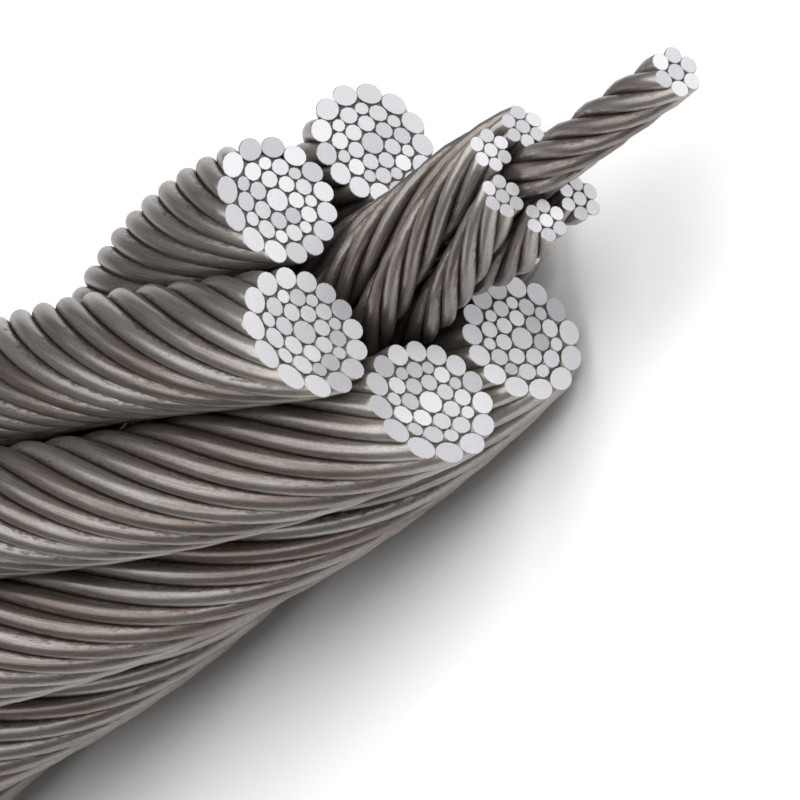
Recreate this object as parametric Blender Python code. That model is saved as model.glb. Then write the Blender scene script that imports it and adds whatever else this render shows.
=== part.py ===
"""A length of 2 inch 6 x 36 wire rope, right Lang lay, with its front end cut back in steps.

The rope lies along X on the plane z = 0, with the origin under its middle and the tip of
its centre strand at +X. Six main strands are laid round a core rope, which is six small
strands laid the other way round a centre strand. At the front the main strands are cut
back furthest, then the core strands, and the centre strand stands out alone.
"""

import math

import bmesh
import bpy
from mathutils import Vector

# Lengths along the rope, in metres
ROPE_LENGTH = 0.3048
CORE_STRANDS_CUT_BACK = 0.0316
MAIN_STRANDS_CUT_BACK = 0.0626

# The three stepped cuts lean a little from square, towards this direction round the axis
CUT_LEAN = math.radians(5)
CUT_LEAN_TOWARDS = math.radians(-137)

# Main strand: a ring of outer wires round a bundle of inner wires
STRAND_COUNT = 6
OUTER_WIRE = 0.00282
OUTER_WIRE_COUNT = 14

# Core rope: each strand is one wire with six round it. It fills the bore of the main
# strands, and the wires of its core strands are this much thinner than its centre strand's
WIRES_ROUND_ONE = 6
CORE_WIRE_TO_CENTRE_WIRE = 0.86

# Gap between neighbours that touch on the real rope, and between wires in a ring
CLEARANCE = 0.0003
WIRE_GAP = 0.00003

# Lay lengths: one full turn of a strand in its rope, or of a wire in its strand
ROPE_LAY = 0.330
MAIN_WIRE_LAY = 0.122
CORE_ROPE_LAY = 0.134
CORE_WIRE_LAY = 0.066
CENTRE_WIRE_LAY = 0.042
RIGHT_HAND = 1
LEFT_HAND = -1

# Places at the cuts, round the rope's axis from +Y towards +Z
MAIN_STRAND_ANGLE = math.radians(6)
CORE_STRAND_ANGLE = math.radians(7)
CENTRE_WIRE_ANGLE = math.radians(4)

# How deep the grooves between wires are cut, as a share of the wire's radius
GROOVE_SHARE = 0.6

# How finely the solids are faceted
MAIN_RINGS_PER_TURN = 8
INNER_RINGS_PER_TURN = 16
CORE_RINGS_PER_TURN = 6
INNER_BEVEL_RESOLUTION = 2
OVERRUN = 0.006

BRIGHT_STEEL = (0.20, 0.18, 0.16, 1.0)
STEEL_ROUGHNESS = 0.38


def laid_ring(count, radius, gap, lay):
    """Radius of a ring of round bars laid side by side, at the angle their lay gives them."""
    neighbours = 1 / math.tan(math.pi / count)
    ring = radius * math.hypot(1, neighbours)
    for _ in range(20):
        slant = math.atan(2 * math.pi * ring / lay)
        ring = (radius + gap / 2) * math.hypot(1, neighbours / math.cos(slant))
    return ring


OUTER_WIRE_RING = laid_ring(OUTER_WIRE_COUNT, OUTER_WIRE / 2, WIRE_GAP, MAIN_WIRE_LAY)
MAIN_STRAND_RADIUS = OUTER_WIRE_RING + OUTER_WIRE / 2
MAIN_STRAND_BORE = OUTER_WIRE_RING - OUTER_WIRE / 2
INNER_BUNDLE_RADIUS = MAIN_STRAND_BORE - CLEARANCE
MAIN_STRAND_RING = laid_ring(STRAND_COUNT, MAIN_STRAND_RADIUS, CLEARANCE, ROPE_LAY)
ROPE_RADIUS = MAIN_STRAND_RING + MAIN_STRAND_RADIUS

CORE_ROPE_RADIUS = MAIN_STRAND_RING - MAIN_STRAND_RADIUS - CLEARANCE
CENTRE_STRAND_RADIUS = (CORE_ROPE_RADIUS - CLEARANCE) / (1 + 2 * CORE_WIRE_TO_CENTRE_WIRE)
CORE_STRAND_RADIUS = CENTRE_STRAND_RADIUS * CORE_WIRE_TO_CENTRE_WIRE
CORE_STRAND_RING = CORE_ROPE_RADIUS - CORE_STRAND_RADIUS
CENTRE_STRAND_WIRE = CENTRE_STRAND_RADIUS / 1.5
CORE_STRAND_WIRE = CORE_STRAND_RADIUS / 1.5

PLAIN_END = -ROPE_LENGTH / 2
CENTRE_STRAND_END = ROPE_LENGTH / 2 - math.tan(CUT_LEAN) * CENTRE_STRAND_RADIUS
CORE_STRANDS_END = ROPE_LENGTH / 2 - CORE_STRANDS_CUT_BACK
MAIN_STRANDS_END = ROPE_LENGTH / 2 - MAIN_STRANDS_CUT_BACK


def clear_scene():
    for old in list(bpy.data.objects):
        bpy.data.objects.remove(old, do_unlink=True)


def new_collection(name):
    made = bpy.data.collections.new(name)
    bpy.context.scene.collection.children.link(made)
    return made


def steel(name):
    material = bpy.data.materials.new(name)
    material.use_nodes = True
    shader = material.node_tree.nodes["Principled BSDF"]
    shader.inputs["Base Color"].default_value = BRIGHT_STEEL
    shader.inputs["Metallic"].default_value = 1.0
    shader.inputs["Roughness"].default_value = STEEL_ROUGHNESS
    return material


def mark_as_helper(helper):
    helper.hide_render = True
    helper.display_type = "WIRE"


def wire_ring_section(name, ring, wire, count, helpers):
    """Outline across a ring of wires: a crown on each wire and a groove between neighbours."""
    curve = bpy.data.curves.new(name, "CURVE")
    curve.dimensions = "2D"
    spline = curve.splines.new("POLY")
    spline.use_cyclic_u = True
    spline.points.add(2 * count - 1)
    crown = ring + wire / 2
    groove = crown - GROOVE_SHARE * wire / 2
    for index, point in enumerate(spline.points):
        radius = groove if index % 2 else crown
        angle = math.pi * index / count
        point.co = (radius * math.cos(angle), radius * math.sin(angle), 0, 1)
    section = bpy.data.objects.new(name, curve)
    helpers.objects.link(section)
    mark_as_helper(section)
    return section


def laid_path(ring, end, angle, lay, hand, wire_angle, wire_lay, rings_per_turn):
    """A path from the plain end to a cut, with overrun, that winds round the rope's axis.

    angle is its place round the axis at the cut. Its tilt turns the section with the strand
    and with the wires in it, which lie the same hand as the strand: wire_angle is a wire's
    place at the cut, from the strand's outward direction. A straight path has no lay, and
    a round bar has no wire lay and isn't turned.
    """
    turns = hand / lay if lay else 0.0
    wire_turns = turns + hand / wire_lay if wire_lay else 0.0
    reach = end - PLAIN_END + 2 * OVERRUN
    steps = math.ceil(reach * max(abs(turns), abs(wire_turns)) * rings_per_turn)
    curve = bpy.data.curves.new("laid_path", "CURVE")
    curve.dimensions = "3D"
    curve.twist_mode = "Z_UP"
    curve.use_fill_caps = True
    spline = curve.splines.new("POLY")
    spline.points.add(steps)
    for index, point in enumerate(spline.points):
        x = PLAIN_END - OVERRUN + reach * index / steps
        place = angle + 2 * math.pi * turns * (x - end)
        point.co = (x, ring * math.cos(place), ROPE_RADIUS + ring * math.sin(place), 1)
        point.tilt = angle + wire_angle + 2 * math.pi * wire_turns * (x - end)
    return curve


def swept_mesh(name, path, collection):
    """The solid swept along a path as a mesh object, its end caps joined to its sides."""
    swept = bpy.data.objects.new(name + "_sweep", path)
    collection.objects.link(swept)
    graph = bpy.context.evaluated_depsgraph_get()
    mesh = bpy.data.meshes.new_from_object(swept.evaluated_get(graph))
    solid = bpy.data.objects.new(name, mesh)
    solid.matrix_world = swept.matrix_world
    collection.objects.link(solid)
    bpy.data.objects.remove(swept)
    shape = bmesh.new()
    shape.from_mesh(mesh)
    bmesh.ops.remove_doubles(shape, verts=shape.verts, dist=0.00001)
    bmesh.ops.recalc_face_normals(shape, faces=shape.faces)
    shape.to_mesh(mesh)
    shape.free()
    mesh.shade_smooth()
    return solid


def cut_block(name, end, helpers):
    """A block from the plain end to a leaning cut. A strand keeps what lies inside it."""
    bpy.ops.mesh.primitive_cube_add(size=1)
    block = bpy.context.object
    block.name = name
    for holder in list(block.users_collection):
        holder.objects.unlink(block)
    helpers.objects.link(block)
    lean = math.tan(CUT_LEAN)
    towards = Vector((math.cos(CUT_LEAN_TOWARDS), math.sin(CUT_LEAN_TOWARDS)))
    for corner in block.data.vertices:
        across = Vector((corner.co.y, corner.co.z)) * 4 * ROPE_RADIUS
        x = end + lean * towards.dot(across) if corner.co.x > 0 else PLAIN_END
        corner.co = (x, across.x, ROPE_RADIUS + across.y)
    mark_as_helper(block)
    return block


def add_boolean(solid, operation, cutter):
    modifier = solid.modifiers.new(cutter.name, "BOOLEAN")
    modifier.operation = operation
    modifier.object = cutter
    modifier.solver = "EXACT"


def round_strand_part(name, radius, angle, collection):
    """A round bar that follows a main strand, for its inner wires or for the bore round them."""
    path = laid_path(MAIN_STRAND_RING, MAIN_STRANDS_END, angle, ROPE_LAY, RIGHT_HAND,
                     0.0, None, INNER_RINGS_PER_TURN)
    path.bevel_depth = radius
    path.bevel_resolution = INNER_BEVEL_RESOLUTION
    return swept_mesh(name, path, collection)


def add_main_strand(number, section, block, material, rope, helpers):
    """One main strand: its ring of outer wires, and the bundle of inner wires inside it."""
    angle = MAIN_STRAND_ANGLE + 2 * math.pi * (number - 1) / STRAND_COUNT
    path = laid_path(MAIN_STRAND_RING, MAIN_STRANDS_END, angle, ROPE_LAY, RIGHT_HAND,
                     0.0, MAIN_WIRE_LAY, MAIN_RINGS_PER_TURN)
    path.bevel_mode = "OBJECT"
    path.bevel_object = section
    outer = swept_mesh(f"strand_{number}_outer_wires", path, rope)
    bore = round_strand_part(f"strand_{number}_bore", MAIN_STRAND_BORE, angle, helpers)
    mark_as_helper(bore)
    add_boolean(outer, "INTERSECT", block)
    add_boolean(outer, "DIFFERENCE", bore)
    outer.data.materials.append(material)
    inner = round_strand_part(f"strand_{number}_inner_wires", INNER_BUNDLE_RADIUS, angle, rope)
    add_boolean(inner, "INTERSECT", block)
    inner.data.materials.append(material)


def add_core_strand(name, ring, end, angle, lay, hand, wire_angle, wire_lay, section, block,
                    material, rope):
    path = laid_path(ring, end, angle, lay, hand, wire_angle, wire_lay, CORE_RINGS_PER_TURN)
    path.bevel_mode = "OBJECT"
    path.bevel_object = section
    strand = swept_mesh(name, path, rope)
    add_boolean(strand, "INTERSECT", block)
    strand.data.materials.append(material)


def main():
    clear_scene()
    rope = new_collection("wire_rope_end")
    helpers = new_collection("cutters")
    material = steel("bright_steel_wire")
    main_section = wire_ring_section("main_strand_section", OUTER_WIRE_RING, OUTER_WIRE,
                                     OUTER_WIRE_COUNT, helpers)
    core_section = wire_ring_section("core_strand_section", CORE_STRAND_WIRE,
                                     CORE_STRAND_WIRE, WIRES_ROUND_ONE, helpers)
    centre_section = wire_ring_section("centre_strand_section", CENTRE_STRAND_WIRE,
                                       CENTRE_STRAND_WIRE, WIRES_ROUND_ONE, helpers)
    main_block = cut_block("main_strands_cut", MAIN_STRANDS_END, helpers)
    core_block = cut_block("core_strands_cut", CORE_STRANDS_END, helpers)
    centre_block = cut_block("centre_strand_cut", CENTRE_STRAND_END, helpers)
    for number in range(1, STRAND_COUNT + 1):
        add_main_strand(number, main_section, main_block, material, rope, helpers)
    for number in range(1, STRAND_COUNT + 1):
        angle = CORE_STRAND_ANGLE + 2 * math.pi * (number - 1) / STRAND_COUNT
        add_core_strand(f"core_strand_{number}", CORE_STRAND_RING, CORE_STRANDS_END, angle,
                        CORE_ROPE_LAY, LEFT_HAND, 0.0, CORE_WIRE_LAY, core_section,
                        core_block, material, rope)
    add_core_strand("centre_strand", 0.0, CENTRE_STRAND_END, CENTRE_WIRE_ANGLE, None,
                    RIGHT_HAND, 0.0, CENTRE_WIRE_LAY, centre_section, centre_block,
                    material, rope)


main()
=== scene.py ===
"""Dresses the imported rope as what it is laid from: 265 drawn steel wires, one by one.

The rope is a 2 inch, 6 x 36 Warrington Seale wire rope in right Lang lay, with a wire rope
core. It lies on a pale floor with its stepped end towards the camera.
"""

import logging
import math
from dataclasses import dataclass
from enum import Enum

import bpy
import numpy as np
from mathutils import Matrix, Vector


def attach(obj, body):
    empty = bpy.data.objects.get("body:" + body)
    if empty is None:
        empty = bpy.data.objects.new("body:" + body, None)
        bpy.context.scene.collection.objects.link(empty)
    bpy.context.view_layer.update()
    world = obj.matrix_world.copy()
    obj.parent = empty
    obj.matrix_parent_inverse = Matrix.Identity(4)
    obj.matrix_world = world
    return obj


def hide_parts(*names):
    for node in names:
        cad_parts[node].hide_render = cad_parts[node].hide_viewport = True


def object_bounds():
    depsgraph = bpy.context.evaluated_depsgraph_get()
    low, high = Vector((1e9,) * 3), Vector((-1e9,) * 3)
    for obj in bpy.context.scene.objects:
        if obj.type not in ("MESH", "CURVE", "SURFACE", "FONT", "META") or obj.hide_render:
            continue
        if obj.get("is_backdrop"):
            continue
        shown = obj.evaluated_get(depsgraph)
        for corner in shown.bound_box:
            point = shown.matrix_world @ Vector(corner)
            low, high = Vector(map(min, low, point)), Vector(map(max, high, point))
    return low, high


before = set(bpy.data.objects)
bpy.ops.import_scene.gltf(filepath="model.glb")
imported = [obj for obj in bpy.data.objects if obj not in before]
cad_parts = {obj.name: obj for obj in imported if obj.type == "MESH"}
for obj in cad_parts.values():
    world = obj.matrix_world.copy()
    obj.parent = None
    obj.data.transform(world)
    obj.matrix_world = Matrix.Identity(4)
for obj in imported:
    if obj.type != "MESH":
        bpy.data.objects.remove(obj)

log = logging.getLogger("wire_rope")

MM = 0.001
IMAGE_SIDE_PX = 800

# Sockets of a Math node that multiplies and adds
VALUE = 0
TIMES = 1
PLUS = 2

# Sockets of a Mix node that mixes colours, which share their names with its other sockets
MIX_A = 6
MIX_B = 7
MIX_RESULT = 2

# The wheel leaves a rim this wide and deep round each cut face
RIM = 0.07 * MM

# A face lies in a cut when it is this close to the plane and turned this nearly the same way
ON_PLANE_WITHIN = 0.001 * MM
SAME_WAY_COSINE = 0.999


class Hand(Enum):
    """Which way a helix winds as it runs along +X."""

    RIGHT = 1
    LEFT = -1


def linear_colour(hex_code: str) -> tuple[float, float, float, float]:
    """Turns an sRGB hex value into a linear colour.

    Args:
        hex_code: Six hex digits.

    Returns:
        Red, green, blue and alpha.
    """
    channels = [int(hex_code[i : i + 2], 16) / 255 for i in (0, 2, 4)]
    linear = [c / 12.92 if c <= 0.04045 else ((c + 0.055) / 1.055) ** 2.4 for c in channels]
    return (*linear, 1.0)


def deselect_all() -> None:
    """Leaves nothing selected, so that an operator acts only on what is picked next."""
    if bpy.context.object and bpy.context.object.mode != "OBJECT":
        bpy.ops.object.mode_set(mode="OBJECT")
    bpy.ops.object.select_all(action="DESELECT")


def pick(*objects: bpy.types.Object) -> None:
    """Selects these objects alone, and makes the first one active.

    Args:
        objects: What the next operator acts on.
    """
    deselect_all()
    for thing in objects:
        thing.select_set(True)
    bpy.context.view_layer.objects.active = objects[0]


@dataclass(frozen=True)
class Cut:
    """A saw cut across the rope: a plane that leans a little from square.

    Attributes:
        x: Where the plane crosses the rope's axis.
        lean: Angle between the plane's normal and the rope's axis.
        towards: Direction round the axis, from +Y to +Z, in which the plane reaches furthest.
        facing: 1 if the cut face looks along +X, -1 if it looks along -X.
    """

    x: float
    lean: float = 0.0
    towards: float = 0.0
    facing: int = 1

    def normal(self) -> Vector:
        """The plane's normal, out of the steel that is kept.

        Returns:
            A unit vector.
        """
        side = -math.sin(self.lean)
        across = (side * math.cos(self.towards), side * math.sin(self.towards))
        return Vector((math.cos(self.lean), *across)) * self.facing

    def point(self, axis_height: float) -> Vector:
        """Where the plane crosses the rope's axis."""
        return Vector((self.x, 0.0, axis_height))


@dataclass(frozen=True)
class WireRing:
    """Wires of one size, side by side round a strand.

    Attributes:
        count: How many wires.
        radius: From the strand's axis to a wire's centre.
        wire: A wire's diameter.
        first: Place of the first wire round the strand, counted in wires.
        fineness: Bevel resolution, which gives 4 + 2 x fineness sides.
    """

    count: int
    radius: float
    wire: float
    first: float = 0.0
    fineness: int = 4


@dataclass(frozen=True)
class DrawnWire:
    """Drawn high-carbon steel wire under a thin film of dried rope lubricant.

    Drawing leaves a satin sheen in a band along each wire. The film darkens it to grey-brown,
    flakes off on the crown of a wire and stays dark in the valleys, which are also darkened with
    painted shade between the wires.

    Attributes:
        name: The material's name.
        clean: Steel where the film is rubbed off the crown of a wire.
        filmed: Steel under the film.
        grime: Grime packed in the valley between two wires, darkened further as painted shade.
        wiped: Steel beside a cut, where grinding has cleaned it.
        metallic: How much of it reflects as metal.
        clean_roughness: Roughness of clean steel.
        film_roughness: Roughness of the film, and of the grime and painted shade in the valleys.
        streak_mm: Length and width of the die's drawing streaks.
        flake_mm: Length and width of the flakes along the film's edge.
        speck_mm: Length and width of the specks all over.
        patch_mm: Length and width of the patches where the film is thicker.
        patch_push: How much the patches move the film's edge.
        flake_push: How much the flakes break up the film's edge.
        bare_band: Values of that edge between which the film gives way to bare steel.
        grime_band: Edge values between which grime and painted shade give way to the film.
        tone_push: How much the stain differs from wire to wire.
        stain_push: How much the stain lies in patches.
        stain_band: Range over which bare steel turns to stained.
        stain_most: How far the darkest stain goes towards the film's colour.
        wipe_push: How uneven the cleaned steel beside a cut is.
        wipe_band: Range over which dirty steel turns to cleaned.
        speck_band: Range of the specks' noise.
        speck_shade: Brightness of the darkest and the lightest speck.
        speck_relief: Height of the specks, against the streaks.
        bare_relief: Height of the bare steel, against the film.
        bump_strength: How strongly the relief shows.
        bump_mm: Height of the relief.
    """

    name: str = "drawn_carbon_steel_wire"
    clean: str = "95918e"
    filmed: str = "6c5f58"
    grime: str = "463c37"
    wiped: str = "aaa49f"
    metallic: float = 0.8
    clean_roughness: float = 0.33
    film_roughness: float = 0.42
    streak_mm: tuple[float, float] = (9.0, 0.16)
    flake_mm: tuple[float, float] = (1.1, 0.36)
    speck_mm: tuple[float, float] = (0.5, 0.18)
    patch_mm: tuple[float, float] = (14.0, 2.2)
    patch_push: float = 0.9
    flake_push: float = 1.8
    bare_band: tuple[float, float] = (1.66, 1.9)
    grime_band: tuple[float, float] = (0.7, 1.6)
    tone_push: float = 0.35
    stain_push: float = 1.3
    stain_band: tuple[float, float] = (1.1, 1.6)
    stain_most: float = 0.9
    wipe_push: float = 0.5
    wipe_band: tuple[float, float] = (0.5, 1.3)
    speck_band: tuple[float, float] = (0.3, 0.7)
    speck_shade: tuple[float, float] = (0.78, 1.12)
    speck_relief: float = 0.5
    bare_relief: float = -0.6
    bump_strength: float = 0.15
    bump_mm: float = 0.04


@dataclass(frozen=True)
class GroundEnd:
    """Wire ends ground flat with a fine wheel: bright, almost white steel in a satin finish.

    The wheel's marks are too fine to show one by one, so they are drawn coarser.

    Attributes:
        name: The material's name.
        bright: Colour of the brightest wire.
        dull: Colour of the dullest wire.
        metallic: How much of it reflects as metal.
        roughness: Its satin gloss.
        grain_mm: Size of the wheel's marks.
        grain_push: How much the marks change a wire's colour.
        dull_band: Range over which a wire's colour goes from bright to dull.
        bump_strength: How strongly the marks' relief shows.
        bump_mm: Height of that relief.
    """

    name: str = "ground_steel_end"
    bright: str = "cacacd"
    dull: str = "a3a3a8"
    metallic: float = 0.5
    roughness: float = 0.45
    grain_mm: float = 0.22
    grain_push: float = 0.7
    dull_band: tuple[float, float] = (0.3, 1.4)
    bump_strength: float = 0.2
    bump_mm: float = 0.02


@dataclass(frozen=True)
class PackedGrease:
    """Rope grease and grindings packed between the wires at a cut: dull dark grey.

    Attributes:
        name: The material's name.
        dark: Its darker colour.
        light: Its lighter colour, where grindings are mixed in.
        roughness: Its low gloss.
        grain_mm: Size of the lumps.
        light_band: Range over which the dark grease turns to the lighter.
        bump_strength: How strongly the lumps' relief shows.
        bump_mm: Height of that relief.
    """

    name: str = "packed_rope_grease"
    dark: str = "2c2926"
    light: str = "5a5652"
    roughness: float = 0.7
    grain_mm: float = 0.5
    light_band: tuple[float, float] = (0.35, 0.65)
    bump_strength: float = 0.5
    bump_mm: float = 0.1


class Finishes:
    """Makes the three materials and keeps them."""

    def __init__(self) -> None:
        """Builds the materials."""
        self.wire = self.drawn_wire(DrawnWire())
        self.end = self.ground_end(GroundEnd())
        self.grease = self.packed_grease(PackedGrease())

    @staticmethod
    def add_node(
        tree: bpy.types.NodeTree,
        kind: str,
        inputs: dict[int | str, object] | None = None,
        output: int | str = 0,
        **settings: str,
    ) -> bpy.types.NodeSocket:
        """Adds a node with its settings and links.

        Args:
            tree: The material's node tree.
            kind: The node's type name after ShaderNode.
            inputs: Socket name or number to a value, or to the output socket that feeds it.
            output: The output socket to return, by name or number.
            settings: Properties of the node.

        Returns:
            One of the new node's output sockets.
        """
        node = tree.nodes.new("ShaderNode" + kind)
        for name, value in settings.items():
            setattr(node, name, value)
        for name, value in (inputs or {}).items():
            socket = node.inputs[name]
            if isinstance(value, bpy.types.NodeSocket):
                tree.links.new(value, socket)
            else:
                socket.default_value = value
        return node.outputs[output]

    @staticmethod
    def new_material(name: str) -> tuple[bpy.types.Material, bpy.types.NodeTree, bpy.types.Node]:
        """Starts a material.

        Args:
            name: Its name.

        Returns:
            The material, its node tree and its surface shader.
        """
        material = bpy.data.materials.new(name)
        material.use_nodes = True
        tree = material.node_tree
        return material, tree, tree.nodes["Principled BSDF"]

    def drawn_wire(self, finish: DrawnWire) -> bpy.types.Material:
        """Builds the wires' material.

        Args:
            finish: Its colours, sizes and gloss.

        Returns:
            The material.
        """
        material, tree, shader = self.new_material(finish.name)
        add = self.add_node

        run = add(tree, "Attribute", output="Vector", attribute_name="run")
        crown = add(tree, "Attribute", output="Fac", attribute_name="crown")
        tone = add(tree, "Attribute", output="Fac", attribute_name="wire_tone")
        wiped = add(tree, "Attribute", output="Fac", attribute_name="wiped")
        marks = {}
        for name, (along, across) in (
            ("streaks", finish.streak_mm),
            ("flakes", finish.flake_mm),
            ("patches", finish.patch_mm),
            ("specks", finish.speck_mm),
        ):
            scale = (1 / (along * MM), 1 / (across * MM), 1 / (across * MM))
            place = add(tree, "Mapping", {"Vector": run, "Scale": scale})
            inputs = {"Vector": place, "Scale": 1.0, "Detail": 4.0, "Roughness": 0.6}
            marks[name] = add(tree, "TexNoise", inputs)

        # The crown of a wire is rubbed bare, with a flaky border
        inputs = {VALUE: marks["patches"], TIMES: finish.patch_push, PLUS: crown}
        height = add(tree, "Math", inputs, operation="MULTIPLY_ADD")
        inputs = {VALUE: marks["flakes"], TIMES: finish.flake_push, PLUS: height}
        border = add(tree, "Math", inputs, operation="MULTIPLY_ADD")
        low, high = finish.bare_band
        bare = add(tree, "MapRange", {"Value": border, "From Min": low, "From Max": high})
        # The valley between two wires is packed with grime, and painted darker there as shade
        low, high = finish.grime_band
        clear = add(tree, "MapRange", {"Value": border, "From Min": low, "From Max": high})
        # The bare steel is stained, differently from wire to wire and in patches
        inputs = {VALUE: tone, TIMES: finish.tone_push, PLUS: marks["streaks"]}
        shade = add(tree, "Math", inputs, operation="MULTIPLY_ADD")
        inputs = {VALUE: marks["patches"], TIMES: finish.stain_push, PLUS: shade}
        shade = add(tree, "Math", inputs, operation="MULTIPLY_ADD")
        low, high = finish.stain_band
        inputs = {
            "Value": shade,
            "From Min": low,
            "From Max": high,
            "To Max": finish.stain_most,
        }
        stain = add(tree, "MapRange", inputs)
        inputs = {
            "Factor": stain,
            MIX_A: linear_colour(finish.clean),
            MIX_B: linear_colour(finish.filmed),
        }
        steel = add(tree, "Mix", inputs, output=MIX_RESULT, data_type="RGBA")
        inputs = {"Factor": bare, MIX_A: linear_colour(finish.filmed), MIX_B: steel}
        worn = add(tree, "Mix", inputs, output=MIX_RESULT, data_type="RGBA")
        # Grime and painted shade darken the valleys between the wires
        inputs = {"Factor": clear, MIX_A: linear_colour(finish.grime), MIX_B: worn}
        dirty = add(tree, "Mix", inputs, output=MIX_RESULT, data_type="RGBA")
        # Beside a cut the wheel has cleaned the steel, more here and less there
        inputs = {VALUE: marks["flakes"], TIMES: finish.wipe_push, PLUS: wiped}
        cleaned = add(tree, "Math", inputs, operation="MULTIPLY_ADD")
        low, high = finish.wipe_band
        cleaned = add(tree, "MapRange", {"Value": cleaned, "From Min": low, "From Max": high})
        inputs = {"Factor": cleaned, MIX_A: dirty, MIX_B: linear_colour(finish.wiped)}
        plain = add(tree, "Mix", inputs, output=MIX_RESULT, data_type="RGBA")
        # Specks all over
        low, high = finish.speck_band
        darkest, lightest = finish.speck_shade
        inputs = {
            "Value": marks["specks"],
            "From Min": low,
            "From Max": high,
            "To Min": darkest,
            "To Max": lightest,
        }
        speck = add(tree, "MapRange", inputs)
        inputs = {"Red": speck, "Green": speck, "Blue": speck}
        mottle = add(tree, "CombineColor", inputs)
        inputs = {"Factor": 1.0, MIX_A: plain, MIX_B: mottle}
        colour = add(
            tree, "Mix", inputs, output=MIX_RESULT, data_type="RGBA", blend_type="MULTIPLY"
        )

        inputs = {
            "Value": bare,
            "To Min": finish.film_roughness,
            "To Max": finish.clean_roughness,
        }
        roughness = add(tree, "MapRange", inputs)
        inputs = {VALUE: marks["specks"], TIMES: finish.speck_relief, PLUS: marks["streaks"]}
        relief = add(tree, "Math", inputs, operation="MULTIPLY_ADD")
        inputs = {VALUE: bare, TIMES: finish.bare_relief, PLUS: relief}
        relief = add(tree, "Math", inputs, operation="MULTIPLY_ADD")
        inputs = {
            "Height": relief,
            "Strength": finish.bump_strength,
            "Distance": finish.bump_mm * MM,
        }
        bump = add(tree, "Bump", inputs)
        tree.links.new(colour, shader.inputs["Base Color"])
        tree.links.new(roughness, shader.inputs["Roughness"])
        tree.links.new(bump, shader.inputs["Normal"])
        shader.inputs["Metallic"].default_value = finish.metallic
        return material

    def ground_end(self, finish: GroundEnd) -> bpy.types.Material:
        """Builds the cut faces' material.

        Args:
            finish: Its colours, grain and gloss.

        Returns:
            The material.
        """
        material, tree, shader = self.new_material(finish.name)
        add = self.add_node
        place = add(tree, "TexCoord", output="Object")
        tone = add(tree, "Attribute", output="Fac", attribute_name="wire_tone")
        size = 1 / (finish.grain_mm * MM)
        grain = add(tree, "TexNoise", {"Vector": place, "Scale": size, "Detail": 3.0})
        inputs = {VALUE: grain, TIMES: finish.grain_push, PLUS: tone}
        dull = add(tree, "Math", inputs, operation="MULTIPLY_ADD")
        low, high = finish.dull_band
        factor = add(tree, "MapRange", {"Value": dull, "From Min": low, "From Max": high})
        inputs = {
            "Factor": factor,
            MIX_A: linear_colour(finish.bright),
            MIX_B: linear_colour(finish.dull),
        }
        colour = add(tree, "Mix", inputs, output=MIX_RESULT, data_type="RGBA")
        inputs = {
            "Height": grain,
            "Strength": finish.bump_strength,
            "Distance": finish.bump_mm * MM,
        }
        bump = add(tree, "Bump", inputs)
        tree.links.new(colour, shader.inputs["Base Color"])
        tree.links.new(bump, shader.inputs["Normal"])
        shader.inputs["Metallic"].default_value = finish.metallic
        shader.inputs["Roughness"].default_value = finish.roughness
        return material

    def packed_grease(self, finish: PackedGrease) -> bpy.types.Material:
        """Builds the material of what fills the gaps at a cut.

        Args:
            finish: Its colours, grain and gloss.

        Returns:
            The material.
        """
        material, tree, shader = self.new_material(finish.name)
        add = self.add_node
        place = add(tree, "TexCoord", output="Object")
        size = 1 / (finish.grain_mm * MM)
        lumps = add(tree, "TexNoise", {"Vector": place, "Scale": size, "Detail": 4.0})
        low, high = finish.light_band
        factor = add(tree, "MapRange", {"Value": lumps, "From Min": low, "From Max": high})
        inputs = {
            "Factor": factor,
            MIX_A: linear_colour(finish.dark),
            MIX_B: linear_colour(finish.light),
        }
        colour = add(tree, "Mix", inputs, output=MIX_RESULT, data_type="RGBA")
        inputs = {
            "Height": lumps,
            "Strength": finish.bump_strength,
            "Distance": finish.bump_mm * MM,
        }
        bump = add(tree, "Bump", inputs)
        tree.links.new(colour, shader.inputs["Base Color"])
        tree.links.new(bump, shader.inputs["Normal"])
        shader.inputs["Roughness"].default_value = finish.roughness
        return material


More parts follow.
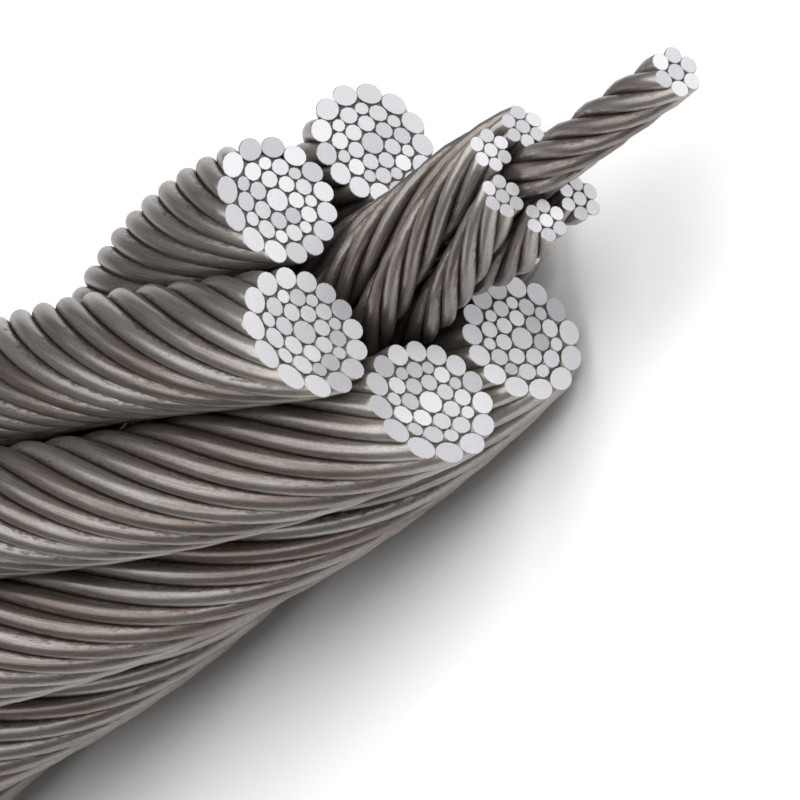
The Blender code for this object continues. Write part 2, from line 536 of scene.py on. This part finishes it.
@dataclass
class RopeSizes:
    """Driving sizes of the rope, across it and along it.

    Attributes:
        axis_height: The rope's axis above the floor.
        plain_end: Where the square cut is along X.
        tip: Where the rope's furthest point is along X.
        main_strands_back: How far behind the tip the main strands are cut.
        core_strands_back: How far behind the tip the core strands are cut.
        centre_strand_back: How far behind the tip the centre strand's cut crosses the axis.
        rope_lay: Lay length of the main strands.
        main_wire_lay: Lay length of the wires in a main strand.
        core_lay: Lay length of the core strands.
        core_wire_lay: Lay length of the wires in a core strand.
        centre_wire_lay: Lay length of the wires in the centre strand.
        main_ring: From the rope's axis to a main strand's axis.
        core_ring: From the rope's axis to a core strand's axis.
        cut_lean: How far the stepped cuts lean from square.
        cut_lean_towards: Direction round the axis in which they reach furthest.
        main_angle: Place of the first main strand round the axis at its cut.
        core_angle: Place of the first core strand round the axis at its cut.
        centre_angle: Place of the centre strand's first wire at its cut.
        strand_count: Main strands, and core strands as well.
        overrun: How far the uncut wires reach past each cut.
    """

    axis_height: float
    plain_end: float
    tip: float
    main_strands_back: float = 62.6 * MM
    core_strands_back: float = 31.6 * MM
    centre_strand_back: float = 0.293 * MM
    rope_lay: float = 330 * MM
    main_wire_lay: float = 122 * MM
    core_lay: float = 134 * MM
    core_wire_lay: float = 66 * MM
    centre_wire_lay: float = 42 * MM
    main_ring: float = 17.311 * MM
    core_ring: float = 6.22 * MM
    cut_lean: float = math.radians(5)
    cut_lean_towards: float = math.radians(-137)
    main_angle: float = math.radians(6)
    core_angle: float = math.radians(7)
    centre_angle: float = math.radians(4)
    strand_count: int = 6
    overrun: float = 6 * MM

    def front_cut(self, back: float) -> Cut:
        """A cut of the stepped end.

        Args:
            back: How far behind the tip the cut crosses the rope's axis.

        Returns:
            The leaning cut.
        """
        return Cut(self.tip - back, self.cut_lean, self.cut_lean_towards)

    def plain_cut(self) -> Cut:
        """The square cut of the plain end."""
        return Cut(self.plain_end, facing=-1)


@dataclass
class Strand:
    """A strand: rings of wires that all turn at one lay, laid along a helix or a straight line.

    Attributes:
        sizes: The rope's sizes.
        ring: Radius of the helix that its axis follows, 0 for the centre strand.
        angle: Its place round the rope at its front cut.
        lay: Lay length in the rope, 0 for the centre strand.
        wire_lay: Lay length of its wires in it.
        hand: Which way it and its wires are laid.
        back: How far behind the tip its front cut is.
        steps_per_turn: Lengthwise facets for each turn of a wire.
        wiped_length: How far from a cut the wires are wiped clean.
        grease_depth: How far behind a cut the grease between the wires is.
        grease_sides: Sides of the round plug of grease.
        smooth_below: Edges flatter than this are shaded smooth.
        pattern_shift: How far the finish is moved along the wires from one copy to the next.
        tone_shift: How far the wires' tones are moved on from one copy to the next.
        tone_spread: How far the finish is moved sideways, from a wire of tone 0 to one of tone 1.
    """

    sizes: RopeSizes
    ring: float
    angle: float
    lay: float
    wire_lay: float
    hand: Hand
    back: float
    steps_per_turn: int = 32
    wiped_length: float = 6 * MM
    grease_depth: float = 0.35 * MM
    grease_sides: int = 28
    smooth_below: float = math.radians(40)
    pattern_shift: float = 0.7
    tone_shift: float = 0.382
    tone_spread: float = 0.1

    def turns(self) -> float:
        """Turns of the strand round the rope, for each metre along the rope."""
        return self.hand.value / self.lay if self.lay else 0.0

    def wire_turns(self) -> float:
        """Turns of a wire about the strand as seen from outside, for each metre of rope."""
        return self.turns() + self.hand.value / self.wire_lay

    def reach(self) -> float:
        """Length along the rope from the plain end to the front cut, with overrun at each end."""
        return self.sizes.tip - self.back - self.sizes.plain_end + 2 * self.sizes.overrun

    def unrolled(self) -> float:
        """Length of the strand's own axis over its reach."""
        return self.reach() * math.hypot(1.0, 2 * math.pi * self.ring * self.turns())

    def lines(
        self,
        count: int,
        radius: float,
        start: float,
        length: float,
        turns: float,
        steps: int,
    ) -> bpy.types.Object:
        """Lays thin lines side by side, one for each wire, and twists them about the X axis.

        Args:
            count: How many lines.
            radius: From the X axis to a line.
            start: Place of the first line round the axis where the lines begin.
            length: Length of the lines before they are twisted.
            turns: Turns from end to end.
            steps: Facets along each line.

        Returns:
            An object that holds the lines as chains of edges.
        """
        deselect_all()
        bpy.ops.mesh.primitive_circle_add(
            vertices=max(count, 3), radius=max(radius, MM), rotation=(0, math.pi / 2, 0)
        )
        lines = bpy.context.object
        bpy.ops.object.transform_apply(location=True, rotation=True, scale=True)
        bpy.ops.object.mode_set(mode="EDIT")
        bpy.ops.mesh.select_all(action="SELECT")
        bpy.ops.mesh.delete(type="EDGE_FACE")
        bpy.ops.mesh.select_all(action="SELECT")
        if count == 1:
            bpy.ops.mesh.merge(type="CENTER")
            bpy.ops.transform.translate(value=(0.0, radius, 0.0))
        bpy.ops.object.mode_set(mode="OBJECT")
        first = lines.data.vertices[0].co
        turn = start - math.atan2(first.z, first.y)
        lines.data.transform(Matrix.Rotation(turn, 4, "X"))
        bpy.ops.object.mode_set(mode="EDIT")
        bpy.ops.mesh.select_all(action="SELECT")
        bpy.ops.mesh.extrude_vertices_move(TRANSFORM_OT_translate={"value": (length, 0, 0)})
        bpy.ops.mesh.select_all(action="SELECT")
        bpy.ops.mesh.subdivide(number_cuts=steps - 1)
        bpy.ops.object.mode_set(mode="OBJECT")
        twist = lines.modifiers.new("lay", "SIMPLE_DEFORM")
        twist.deform_method = "TWIST"
        twist.deform_axis = "X"
        twist.angle = 2 * math.pi * turns
        bpy.ops.object.modifier_apply(modifier="lay")
        return lines

    def guide(self) -> bpy.types.Object:
        """Makes the strand's own axis: a helix round the rope as a curve that wires can follow.

        Returns:
            The curve object, which starts at x = 0.
        """
        reach = self.reach()
        start = self.angle - 2 * math.pi * self.turns() * (reach - self.sizes.overrun)
        steps = math.ceil(abs(self.wire_turns()) * reach * self.steps_per_turn)
        guide = self.lines(1, self.ring, start, reach, self.turns() * reach, steps)
        bpy.ops.object.convert(target="CURVE")
        guide = bpy.context.object
        guide.name = "strand_axis"
        guide.data.twist_mode = "Z_UP"
        guide.data.use_path = True
        return guide

    def wires(self, ring: WireRing, guide: bpy.types.Object | None) -> bpy.types.Object:
        """Models one ring of wires at full length, before its ends are cut.

        Args:
            ring: The wires.
            guide: The curve that they follow, or None along the rope's axis.

        Returns:
            The wires as one mesh object, which starts at x = 0.
        """
        reach = self.reach()
        turns = self.wire_turns()
        steps = math.ceil(abs(turns) * reach * self.steps_per_turn)
        pitch = 2 * math.pi / ring.count
        front = reach - self.sizes.overrun
        start = self.angle + ring.first * pitch - 2 * math.pi * turns * front
        length = self.unrolled()
        wires = self.lines(ring.count, ring.radius, start, length, turns * reach, steps)
        if guide:
            follow = wires.modifiers.new("follow", "CURVE")
            follow.object = guide
            follow.deform_axis = "POS_X"
            bpy.ops.object.modifier_apply(modifier="follow")
        bpy.ops.object.convert(target="CURVE")
        wires = bpy.context.object
        wires.data.twist_mode = "MINIMUM"
        wires.data.bevel_depth = ring.wire / 2
        wires.data.bevel_resolution = ring.fineness
        wires.data.use_fill_caps = False
        bpy.ops.object.convert(target="MESH")
        wires = bpy.context.object
        self.mark_wires(wires.data, ring, length)
        return wires

    def mark_wires(self, mesh: bpy.types.Mesh, ring: WireRing, length: float) -> None:
        """Marks each point of the wires for their finish.

        wire_tone differs from wire to wire, run is the place along and across a wire, and
        crown is 1 where a wire stands furthest out of its strand and -1 on its inner side.

        Args:
            mesh: The wires' mesh, one wire after another.
            ring: The wires.
            length: Length of a wire along its strand.
        """
        sides = 4 + 2 * ring.fineness
        places = np.empty(len(mesh.vertices) * 3, dtype=np.float32)
        mesh.vertices.foreach_get("co", places)
        places = places.reshape(ring.count, -1, sides, 3)
        rows = places.shape[1]
        centres = places.mean(axis=2, keepdims=True)
        # A wire along the strand's own axis has no outer side, so its crown is 0 all round
        outward = centres - centres.mean(axis=0, keepdims=True)
        outward /= np.maximum(np.linalg.norm(outward, axis=3, keepdims=True), 0.01 * MM)
        radial = (places - centres) / (ring.wire / 2)
        crown = (radial * outward).sum(axis=3)
        # Seeded by the ring's own sizes, so that each run gives the same tones
        seed = round(ring.radius * 1e7) + ring.count
        tones = np.random.default_rng(seed).random(ring.count)
        tone = np.broadcast_to(tones[:, None, None], crown.shape)
        turn = np.arange(sides) * 2 * math.pi / sides
        run = np.empty(places.shape, dtype=np.float32)
        run[..., 0] = (np.arange(rows) * length / rows)[None, :, None]
        run[..., 1] = ring.wire / 2 * np.cos(turn) + self.tone_spread * tone
        run[..., 2] = ring.wire / 2 * np.sin(turn) + self.tone_spread * tone
        for name, kind, values in (
            ("wire_tone", "FLOAT", tone),
            ("crown", "FLOAT", crown),
            ("run", "FLOAT_VECTOR", run),
        ):
            attribute = mesh.attributes.new(name, kind, "POINT")
            field = "vector" if kind == "FLOAT_VECTOR" else "value"
            attribute.data.foreach_set(field, np.ascontiguousarray(values, np.float32).ravel())

    def mark_ends(self, mesh: bpy.types.Mesh, number: int) -> None:
        """Marks how far each point is wiped clean beside the cuts, and makes this copy differ.

        Args:
            mesh: The piece's mesh, in its place.
            number: The copy's number.
        """
        places = np.empty(len(mesh.vertices) * 3, dtype=np.float32)
        mesh.vertices.foreach_get("co", places)
        x = places.reshape(-1, 3)[:, 0]
        front = self.sizes.tip - self.back
        nearest = np.minimum(np.abs(front - x), np.abs(x - self.sizes.plain_end))
        wiped = mesh.attributes.new("wiped", "FLOAT", "POINT")
        wiped.data.foreach_set("value", np.exp(-nearest / self.wiped_length).astype(np.float32))
        tone = np.empty(len(mesh.vertices), dtype=np.float32)
        mesh.attributes["wire_tone"].data.foreach_get("value", tone)
        tone = (tone + self.tone_shift * number) % 1.0
        mesh.attributes["wire_tone"].data.foreach_set("value", tone)
        run = np.empty(len(mesh.vertices) * 3, dtype=np.float32)
        mesh.attributes["run"].data.foreach_get("vector", run)
        run[0::3] += self.pattern_shift * number
        mesh.attributes["run"].data.foreach_set("vector", run)

    def saw(self, piece: bpy.types.Object, cut: Cut, rim: float) -> None:
        """Cuts a piece off at a plane, closes every wire there and grinds a small rim on it.

        Args:
            piece: The wires.
            cut: The plane.
            rim: Width and depth of the rim.
        """
        pick(piece)
        normal = cut.normal()
        point = cut.point(self.sizes.axis_height) - normal * rim
        bpy.ops.object.mode_set(mode="EDIT")
        bpy.ops.mesh.select_all(action="SELECT")
        bpy.ops.mesh.bisect(plane_co=point, plane_no=normal, clear_outer=True, threshold=0.0)
        bpy.ops.mesh.fill_holes(sides=0)
        bpy.ops.object.mode_set(mode="OBJECT")
        mesh = piece.data
        for face in mesh.polygons:
            on_plane = abs((face.center - point).dot(normal)) < ON_PLANE_WITHIN
            face.select = on_plane and face.normal.dot(normal) > SAME_WAY_COSINE
        for edge in mesh.edges:
            edge.select = False
        for vertex in mesh.vertices:
            vertex.select = False
        log.info("%s: %d ends", piece.name, sum(face.select for face in mesh.polygons))
        bpy.ops.object.mode_set(mode="EDIT")
        bpy.ops.mesh.select_mode(type="FACE")
        bpy.ops.mesh.inset(use_individual=True, thickness=rim, depth=rim)
        bpy.ops.mesh.select_mode(type="VERT")
        bpy.ops.object.mode_set(mode="OBJECT")
        for face in mesh.polygons:
            if face.select:
                face.material_index = 1

    def build(
        self,
        rings: tuple[WireRing, ...],
        name: str,
        finishes: Finishes,
    ) -> bpy.types.Object:
        """Models some of the strand's rings as one uncut piece about the rope's axis.

        Args:
            rings: The rings.
            name: The piece's name.
            finishes: The materials.

        Returns:
            The piece.
        """
        guide = self.guide() if self.ring else None
        made = [self.wires(ring, guide) for ring in rings]
        pick(*made)
        if len(made) > 1:
            bpy.ops.object.join()
        piece = bpy.context.object
        piece.name = name
        start = self.sizes.plain_end - self.sizes.overrun
        piece.data.transform(Matrix.Translation((start, 0.0, 0.0)))
        piece.data.materials.clear()
        piece.data.materials.append(finishes.wire)
        piece.data.materials.append(finishes.end)
        piece.data.materials.append(finishes.grease)
        if guide:
            bpy.data.objects.remove(guide)
        return piece

    def pack_grease(self, piece: bpy.types.Object, turn: float, cut: Cut, radius: float) -> None:
        """Fills the gaps between the wires just behind a cut.

        Args:
            piece: The wires, cut.
            turn: Angle of the strand's copy round the rope's axis.
            cut: The cut.
            radius: How far out from the strand's axis the grease reaches.
        """
        angle = self.angle + turn
        if cut.facing < 0:
            to_plain_end = self.sizes.plain_end - self.sizes.tip + self.back
            angle += 2 * math.pi * self.turns() * to_plain_end
        point = cut.point(self.sizes.axis_height)
        normal = cut.normal()
        middle = Vector((0.0, self.ring * math.cos(angle), self.ring * math.sin(angle))) + point
        middle += normal * ((point - middle).dot(normal) - self.grease_depth)
        deselect_all()
        bpy.ops.mesh.primitive_circle_add(
            vertices=self.grease_sides,
            radius=radius,
            fill_type="NGON",
            location=middle,
            rotation=normal.to_track_quat("Z", "X").to_euler(),
        )
        plug = bpy.context.object
        bpy.ops.object.transform_apply(location=True, rotation=True, scale=True)
        for material in piece.data.materials:
            plug.data.materials.append(material)
        plug.data.polygons[0].material_index = 2
        pick(piece, plug)
        bpy.ops.object.join()

    def finish_piece(
        self,
        piece: bpy.types.Object,
        number: int,
        grease_radius: float,
        nodes: tuple[str, ...],
    ) -> None:
        """Turns an uncut piece to its place, lifts it, cuts both ends and hands it to the frame.

        Args:
            piece: The uncut piece about the rope's axis.
            number: The strand's number, which gives its turn round the rope's axis.
            grease_radius: Radius of the grease between its wires, 0 for none.
            nodes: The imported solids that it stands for.
        """
        turn = 2 * math.pi * (number - 1) / self.sizes.strand_count
        lift = Matrix.Translation((0.0, 0.0, self.sizes.axis_height))
        piece.data.transform(lift @ Matrix.Rotation(turn, 4, "X"))
        for cut in (self.sizes.front_cut(self.back), self.sizes.plain_cut()):
            self.saw(piece, cut, RIM)
        self.mark_ends(piece.data, number)
        pick(piece)
        bpy.ops.object.shade_smooth_by_angle(angle=self.smooth_below)
        if grease_radius:
            for cut in (self.sizes.front_cut(self.back), self.sizes.plain_cut()):
                self.pack_grease(piece, turn, cut, grease_radius)
        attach(piece, "root")
        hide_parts(*nodes)
        faces = sum(len(face.vertices) - 2 for face in piece.data.polygons)
        log.info("%s: %d triangles", piece.name, faces)


MAIN_INNER_RINGS = (
    WireRing(1, 0.0, 2.99 * MM, fineness=4),
    WireRing(7, 2.647 * MM, 2.26 * MM, first=0.243, fineness=3),
    WireRing(7, 4.670 * MM, 1.73 * MM, first=0.243, fineness=3),
    WireRing(7, 4.387 * MM, 2.29 * MM, first=0.743, fineness=3),
)
MAIN_OUTER_RING = WireRing(14, 6.763 * MM, 2.83 * MM, fineness=5)
CORE_RINGS = (
    WireRing(1, 0.0, 1.92 * MM, fineness=4),
    WireRing(6, 1.92 * MM, 1.90 * MM, fineness=4),
)
CENTRE_RINGS = (
    WireRing(1, 0.0, 2.24 * MM, fineness=4),
    WireRing(6, 2.24 * MM, 2.22 * MM, fineness=5),
)


class Rope:
    """The whole rope: six main strands, six core strands and the centre strand."""

    def __init__(self, sizes: RopeSizes, finishes: Finishes) -> None:
        """Keeps the sizes and the materials.

        Args:
            sizes: The rope's sizes.
            finishes: The materials.
        """
        self.sizes = sizes
        self.finishes = finishes

    def copies(
        self,
        strand: Strand,
        rings: tuple[WireRing, ...],
        name: str,
        node: str,
        grease_radius: float = 0.0,
    ) -> None:
        """Models a strand's rings once and copies them to all six places round the rope.

        Args:
            strand: The strand, at its first place.
            rings: The rings to model.
            name: The pieces' name, with # for the strand's number.
            node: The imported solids' name, with # for the strand's number.
            grease_radius: Radius of the grease between its wires, 0 for none.
        """
        model = strand.build(rings, "laid_wires", self.finishes)
        for number in range(1, self.sizes.strand_count + 1):
            piece = bpy.data.objects.new(name.replace("#", str(number)), model.data.copy())
            bpy.context.scene.collection.objects.link(piece)
            strand.finish_piece(piece, number, grease_radius, (node.replace("#", str(number)),))
        bpy.data.objects.remove(model)

    def build(self) -> None:
        """Models every strand."""
        sizes = self.sizes
        main = Strand(
            sizes=sizes,
            ring=sizes.main_ring,
            angle=sizes.main_angle,
            lay=sizes.rope_lay,
            wire_lay=sizes.main_wire_lay,
            hand=Hand.RIGHT,
            back=sizes.main_strands_back,
        )
        self.copies(
            main,
            MAIN_INNER_RINGS,
            "main_strand_#_inner",
            "strand_#_inner_wires",
            grease_radius=MAIN_OUTER_RING.radius,
        )
        self.copies(main, (MAIN_OUTER_RING,), "main_strand_#_outer", "strand_#_outer_wires")
        core = Strand(
            sizes=sizes,
            ring=sizes.core_ring,
            angle=sizes.core_angle,
            lay=sizes.core_lay,
            wire_lay=sizes.core_wire_lay,
            hand=Hand.LEFT,
            back=sizes.core_strands_back,
            steps_per_turn=24,
        )
        self.copies(
            core,
            CORE_RINGS,
            "core_rope_strand_#",
            "core_strand_#",
            grease_radius=CORE_RINGS[-1].radius,
        )
        centre = Strand(
            sizes=sizes,
            ring=0.0,
            angle=sizes.centre_angle,
            lay=0.0,
            wire_lay=sizes.centre_wire_lay,
            hand=Hand.RIGHT,
            back=sizes.centre_strand_back,
            steps_per_turn=24,
        )
        piece = centre.build(CENTRE_RINGS, "core_rope_centre", self.finishes)
        centre.finish_piece(piece, 1, CENTRE_RINGS[-1].radius, ("centre_strand",))


@dataclass
class Studio:
    """The pale floor, the soft lights and the camera.

    Attributes:
        sizes: The rope's sizes, for where the camera aims.
        azimuth: Camera's direction round the rope, from -Y towards +X.
        elevation: Camera's height above the horizon.
        slant: How far the rope rises towards the right of the picture.
        lens: Focal length, in millimetres.
        sensor: Width of the sensor, in millimetres.
        px_per_metre: Scale of the picture at the main strands' cut.
        target_px: Where the middle of that cut is in the picture.
        floor_side: Side of the square floor.
        floor_colour: Its off-white.
        sky_strength: Strength of the white fill light from all round.
        lit_x: Where along the rope the lights aim.
    """

    sizes: RopeSizes
    azimuth: float = math.radians(62.7)
    elevation: float = math.radians(30.6)
    slant: float = math.radians(35.5)
    lens: float = 1000.0
    sensor: float = 36.0
    px_per_metre: float = 8340.0
    target_px: tuple[float, float] = (399.0, 272.0)
    floor_side: float = 6.0
    floor_colour: str = "f4f4f4"
    sky_strength: float = 0.21
    lit_x: float = 0.05

    def back(self) -> Vector:
        """Direction from the rope to the camera.

        Returns:
            A unit vector.
        """
        flat = math.cos(self.elevation)
        return Vector(
            (
                math.sin(self.azimuth) * flat,
                -math.cos(self.azimuth) * flat,
                math.sin(self.elevation),
            )
        )

    def axes(self) -> tuple[Vector, Vector, Vector]:
        """The picture's right and up, and the direction to the camera.

        Returns:
            Three unit vectors.
        """
        back = self.back()
        rope = Vector((1.0, 0.0, 0.0))
        level = (rope - back * rope.dot(back)).normalized()
        rise = back.cross(level)
        right = level * math.cos(self.slant) - rise * math.sin(self.slant)
        up = level * math.sin(self.slant) + rise * math.cos(self.slant)
        return right, up, back

    def camera(self) -> None:
        """Sets up the camera at the photograph's viewing angle."""
        data = bpy.data.cameras.new("camera")
        data.lens = self.lens
        data.sensor_width = self.sensor
        data.clip_start = 0.05
        data.clip_end = 20.0
        camera = bpy.data.objects.new("camera", data)
        bpy.context.scene.collection.objects.link(camera)
        right, up, back = self.axes()
        distance = self.lens / self.sensor * IMAGE_SIDE_PX / self.px_per_metre
        aim = self.sizes.front_cut(self.sizes.main_strands_back).point(self.sizes.axis_height)
        across = (self.target_px[0] - IMAGE_SIDE_PX / 2) / self.px_per_metre
        down = (self.target_px[1] - IMAGE_SIDE_PX / 2) / self.px_per_metre
        camera.rotation_mode = "QUATERNION"
        camera.rotation_quaternion = Matrix((right, up, back)).transposed().to_quaternion()
        camera.location = aim + back * distance - right * across + up * down
        bpy.context.scene.camera = camera

    def floor(self) -> None:
        """Lays the pale floor."""
        deselect_all()
        bpy.ops.mesh.primitive_plane_add(size=self.floor_side)
        floor = bpy.context.object
        floor.name = "floor"
        material = bpy.data.materials.new("matt_white_board")
        material.use_nodes = True
        shader = material.node_tree.nodes["Principled BSDF"]
        shader.inputs["Base Color"].default_value = linear_colour(self.floor_colour)
        shader.inputs["Roughness"].default_value = 0.9
        floor.data.materials.append(material)
        floor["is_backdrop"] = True

    def lights(self) -> None:
        """Sets up the soft lights: one beside the camera and one right above the rope."""
        right, up, back = self.axes()
        aim = Vector((self.lit_x, 0.0, self.sizes.axis_height))
        for name, direction, distance, size, power in (
            ("front_softbox", back * 0.9 + up * 0.42 + right * 0.1, 1.3, 0.8, 20.0),
            ("overhead_softbox", Vector((0.0, 0.0, 1.0)), 1.0, 1.4, 11.0),
        ):
            data = bpy.data.lights.new(name, "AREA")
            data.shape = "SQUARE"
            data.size = size
            data.energy = power
            light = bpy.data.objects.new(name, data)
            bpy.context.scene.collection.objects.link(light)
            direction = direction.normalized()
            light.location = aim + direction * distance
            light.rotation_mode = "QUATERNION"
            light.rotation_quaternion = (-direction).to_track_quat("-Z", "Y")
            light.visible_camera = False
        world = bpy.data.worlds.new("white_tent")
        world.use_nodes = True
        sky = world.node_tree.nodes["Background"]
        sky.inputs["Color"].default_value = (1.0, 1.0, 1.0, 1.0)
        sky.inputs["Strength"].default_value = self.sky_strength
        bpy.context.scene.world = world
        bpy.context.scene.view_settings.view_transform = "Standard"


def main() -> None:
    """Builds the rope and the studio."""
    logging.basicConfig(level=logging.INFO, format="%(message)s")
    low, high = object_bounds()
    sizes = RopeSizes(
        axis_height=(low.z + high.z) / 2,
        plain_end=low.x,
        tip=-low.x,
    )
    rope = Rope(sizes, Finishes())
    rope.build()
    studio = Studio(sizes)
    studio.floor()
    studio.camera()
    studio.lights()
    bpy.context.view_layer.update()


if __name__ == "__main__":
    main()
